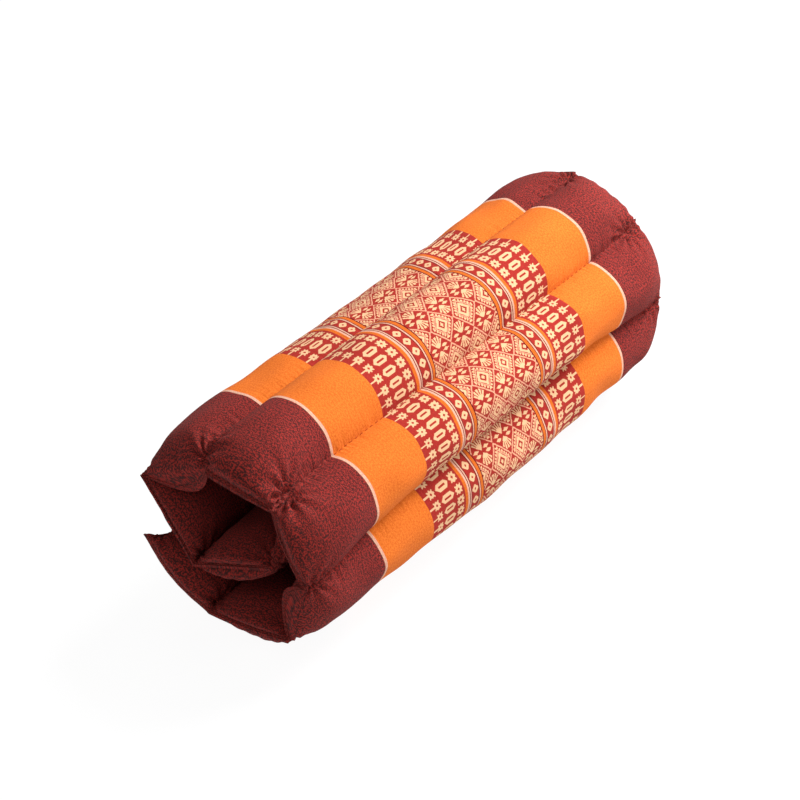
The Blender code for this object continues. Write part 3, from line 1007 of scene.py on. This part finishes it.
def cloth_material(title, banded):
    """Cotton cloth: the wine-red backing, or the face cloth with its bands and motifs."""
    material = bpy.data.materials.new(title)
    material.use_nodes = True
    tree = material.node_tree
    shader = tree.nodes["Principled BSDF"]
    uv = tree.nodes.new("ShaderNodeUVMap")
    uv.uv_map = "cloth"
    in_mm = tree.nodes.new("ShaderNodeVectorMath")
    in_mm.operation = "SCALE"
    in_mm.inputs["Scale"].default_value = 1 / MM
    tree.links.new(uv.outputs["UV"], in_mm.inputs[0])
    parts = tree.nodes.new("ShaderNodeSeparateXYZ")
    tree.links.new(in_mm.outputs[0], parts.inputs[0])
    u = parts.outputs["X"]
    v = parts.outputs["Y"]
    height, fleck, dash = placed(tree, threads, u, v)
    dye = calc(tree, "ADD", calc(tree, "MULTIPLY", dash, DASH_SHARE),
               calc(tree, "MULTIPLY", fleck, FLECK_SHARE))
    darkness = tree.nodes.new("ShaderNodeMapRange")
    darkness.inputs["From Min"].default_value = DARK_FROM
    darkness.inputs["From Max"].default_value = DARK_TO
    tree.links.new(dye, darkness.inputs["Value"])
    dark = darkness.outputs[0]
    colour = mixed(tree, calc(tree, "MULTIPLY", dark, WINE_DARKENED), WINE_RED, WINE_BLACK)
    if banded:
        colour = banded_ground(tree, u, v, dark, colour)
    tree.links.new(colour, shader.inputs["Base Color"])
    shader.inputs["Roughness"].default_value = 0.85
    shader.inputs["Sheen Weight"].default_value = 0.01
    shader.inputs["Sheen Roughness"].default_value = 0.5
    shader.inputs["Specular IOR Level"].default_value = 0.08
    bump = tree.nodes.new("ShaderNodeBump")
    bump.inputs["Strength"].default_value = BUMP_STRENGTH
    bump.inputs["Distance"].default_value = MM
    tree.links.new(height, bump.inputs["Height"])
    tree.links.new(bump.outputs["Normal"], shader.inputs["Normal"])
    return material


mesh.materials.clear()
mesh.materials.append(cloth_material("banded cloth", banded=True))
mesh.materials.append(cloth_material("backing cloth", banded=False))
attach(mat, "root")
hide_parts("cushion")

# The seams' thread. A closing seam runs round the whole edge, and one seam between each two
# channels. The stitches show on both cloths, each a short bowed length of thread.
THREAD_RADIUS = 0.28
CHANNEL_STITCH = 3.2          # length of one stitch of a channel's seam
CHANNEL_PITCH = 4.4
CHANNEL_RAISED = 0.2          # how far the thread's middle lies over the cloth
CHANNEL_SKIP = 12             # points of the cloth at each end of a line without stitches
CLOSING_STITCH = 2.2
CLOSING_PITCH = 2.9
CLOSING_RAISED = 0.3
CLOSING_ROW = LIP_PLACES[2]   # where the closing seam runs, from the edge
END_SKIP = 1
SHORT_EDGE_SKIP = 8
FIRST_STITCH = 0.6            # from the start of a line
LOOK_AHEAD = 0.3              # over what length a stitch's direction is taken
ON_LINE = 0.02                # how near to a line its points lie
STITCH_SIDES = 5
StitchRing = namedtuple("StitchRing", "share thickness raised")
STITCH_RINGS = (
    StitchRing(0.0, 0.35, -0.5), StitchRing(0.2, 0.9, 0.0), StitchRing(0.5, 1.0, 0.12),
    StitchRing(0.8, 0.9, 0.0), StitchRing(1.0, 0.35, -0.5),
)
PALE_RED = (0.19, 0.032, 0.025, 1.0)
RUST_RED = (0.25, 0.028, 0.004, 1.0)

mat_at = vectors(mesh.vertices, "co").astype(float) * (1 / MM)
mat_facing = vectors(mesh.vertex_normals, "vector").astype(float)
mat_cloth = vectors(mesh.attributes["on_cloth"].data, "vector").astype(float)


def line_on_cloth(fixed, value, cloth_side, skip):
    """A line over the finished cloth where u or v has one value, and the cloth's direction."""
    chosen = np.abs(mat_cloth[:, fixed] - value) < ON_LINE
    chosen &= np.abs(mat_cloth[:, 2] - cloth_side) < ON_LINE
    order = np.flatnonzero(chosen)
    order = order[np.argsort(mat_cloth[order, 1 - fixed])]
    order = order[skip:len(order) - skip]
    return mat_at[order], mat_facing[order]


def at_run(run, values, distance):
    """The value of a line's three coordinates at a distance along it."""
    return np.array([np.interp(distance, run, values[:, axis]) for axis in range(3)])


def stitched(line, directions, stitch, pitch, raised):
    """Points and faces of the stitches along a line."""
    run = np.concatenate([[0], np.cumsum(np.linalg.norm(np.diff(line, axis=0), axis=1))])
    turns = np.arange(STITCH_SIDES) * 2 * math.pi / STITCH_SIDES
    rings = []
    quads = []
    for start in np.arange(FIRST_STITCH, run[-1] - stitch, pitch):
        first = len(rings) * STITCH_SIDES
        for shape in STITCH_RINGS:
            distance = start + shape.share * stitch
            centre = at_run(run, line, distance)
            up = at_run(run, directions, distance)
            ahead = at_run(run, line, distance + LOOK_AHEAD) - centre
            out = np.cross(up, ahead)
            out /= max(np.linalg.norm(out), TINY)
            up = up / max(np.linalg.norm(up), TINY)
            centre = centre + up * (shape.raised + raised)
            rings.append(centre + THREAD_RADIUS * shape.thickness * (
                np.cos(turns)[:, None] * out + np.sin(turns)[:, None] * up))
        for ring in range(len(STITCH_RINGS) - 1):
            for turn in range(STITCH_SIDES):
                a = first + ring * STITCH_SIDES + turn
                b = first + ring * STITCH_SIDES + (turn + 1) % STITCH_SIDES
                quads.append((a, b, b + STITCH_SIDES, a + STITCH_SIDES))
    return np.concatenate(rings), quads


def stitch_piece(title, lines, stitch, pitch, raised, material):
    """One piece with the stitches of several lines."""
    made_points = []
    made_faces = []
    total = 0
    for line, directions in lines:
        stitch_points, quads = stitched(line, directions, stitch, pitch, raised)
        made_faces += [tuple(index + total for index in quad) for quad in quads]
        made_points.append(stitch_points)
        total += len(stitch_points)
    thread_mesh = bpy.data.meshes.new(title)
    thread_mesh.from_pydata((np.concatenate(made_points) * MM).tolist(), [], made_faces)
    thread_mesh.update()
    thread_mesh.shade_smooth()
    thread_mesh.materials.append(material)
    piece = bpy.data.objects.new(title, thread_mesh)
    bpy.context.collection.objects.link(piece)
    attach(piece, "root")


thread_material = bpy.data.materials.new("sewing thread")
thread_material.use_nodes = True
thread_tree = thread_material.node_tree
thread_shader = thread_tree.nodes["Principled BSDF"]
thread_place = thread_tree.nodes.new("ShaderNodeTexCoord")
thread_parts = thread_tree.nodes.new("ShaderNodeSeparateXYZ")
thread_tree.links.new(thread_place.outputs["Object"], thread_parts.inputs[0])
on_bands = calc(thread_tree, "LESS_THAN", calc(
    thread_tree, "ABSOLUTE", thread_parts.outputs["X"]), IN_BANDS * MM)
thread_tree.links.new(mixed(thread_tree, on_bands, PALE_RED, RUST_RED),
                      thread_shader.inputs["Base Color"])
thread_shader.inputs["Roughness"].default_value = 0.8
thread_shader.inputs["Specular IOR Level"].default_value = 0.1

seam_lines = []
closing_lines = []
for sewn_side in (FACE, BACK):
    for seam_place in range(1, len(CHANNELS)):
        seam_lines.append(line_on_cloth(1, seam_place * CLOTH_PER_CHANNEL, sewn_side,
                                        CHANNEL_SKIP))
    for from_middle in (CLOSING_ROW - ROLL_LENGTH / 2, ROLL_LENGTH / 2 - CLOSING_ROW):
        closing_lines.append(line_on_cloth(0, from_middle, sewn_side, END_SKIP))
    for short_edge in (0, len(CHANNELS)):
        closing_place = abs(short_edge - within[1]) * CLOTH_PER_CHANNEL
        closing_lines.append(line_on_cloth(1, closing_place, sewn_side, SHORT_EDGE_SKIP))
stitch_piece("channel_stitches", seam_lines, CHANNEL_STITCH, CHANNEL_PITCH, CHANNEL_RAISED,
             thread_material)
stitch_piece("closing_stitches", closing_lines, CLOSING_STITCH, CLOSING_PITCH, CLOSING_RAISED,
             thread_material)

# The table top, a plain white sheet with light under it that runs on behind the roll.
bpy.ops.mesh.primitive_plane_add(size=6.0, location=(0.0, 0.0, 0.0))
floor = bpy.context.object
floor.name = "floor"
floor_material = bpy.data.materials.new("floor")
floor_material.use_nodes = True
floor_shader = floor_material.node_tree.nodes["Principled BSDF"]
floor_shader.inputs["Base Color"].default_value = (0.05, 0.05, 0.05, 1)
floor_shader.inputs["Emission Color"].default_value = (1, 1, 1, 1)
floor_shader.inputs["Emission Strength"].default_value = 0.94
floor.data.materials.append(floor_material)

# The light: a soft lamp over the far end of the roll, to the right of the camera, a weaker
# one low on the same side, and a faint one over the near end, to the left. The world round
# them is a dim white.
LAMP_SIZE = 0.7
LIT_POINT = Vector((0, 0, 0.07))
Lamp = namedtuple("Lamp", "title place watts")
LAMPS = (
    Lamp("key", (0.85, -0.30, 1.05), 47.0),
    Lamp("front", (0.45, -1.10, 0.40), 10.0),
    Lamp("left", (-0.75, 0.10, 0.95), 2.5),
)
bpy.context.scene.view_settings.view_transform = "Standard"
world = bpy.data.worlds.new("studio")
bpy.context.scene.world = world
world.use_nodes = True
world.node_tree.nodes["Background"].inputs["Color"].default_value = (1.0, 1.0, 1.0, 1.0)
world.node_tree.nodes["Background"].inputs["Strength"].default_value = 0.28
for lamp in LAMPS:
    area = bpy.data.lights.new(lamp.title, "AREA")
    area.energy = lamp.watts
    area.size = LAMP_SIZE
    light = bpy.data.objects.new(lamp.title, area)
    light.location = lamp.place
    beam = LIT_POINT - light.location
    light.rotation_euler = beam.to_track_quat("-Z", "Y").to_euler()
    bpy.context.collection.objects.link(light)

# The camera, at the photograph's angle to the roll.
AZIMUTH = math.radians(-52.58)
ELEVATION = math.radians(38.15)
DISTANCE = 1.298
TARGET = Vector((-0.0011, 0.0150, 0.0555))
FOCAL_PIXELS = 2182
IMAGE_PIXELS = 800
SENSOR_WIDTH = 36.0
lens = bpy.data.cameras.new("camera")
lens.sensor_width = SENSOR_WIDTH
lens.lens = FOCAL_PIXELS / IMAGE_PIXELS * lens.sensor_width
camera = bpy.data.objects.new("camera", lens)
away = Vector((math.sin(AZIMUTH) * math.cos(ELEVATION),
               -math.cos(AZIMUTH) * math.cos(ELEVATION),
               math.sin(ELEVATION)))
camera.location = TARGET + away * DISTANCE
camera.rotation_euler = (-away).to_track_quat("-Z", "Y").to_euler()
bpy.context.collection.objects.link(camera)
bpy.context.scene.camera = camera
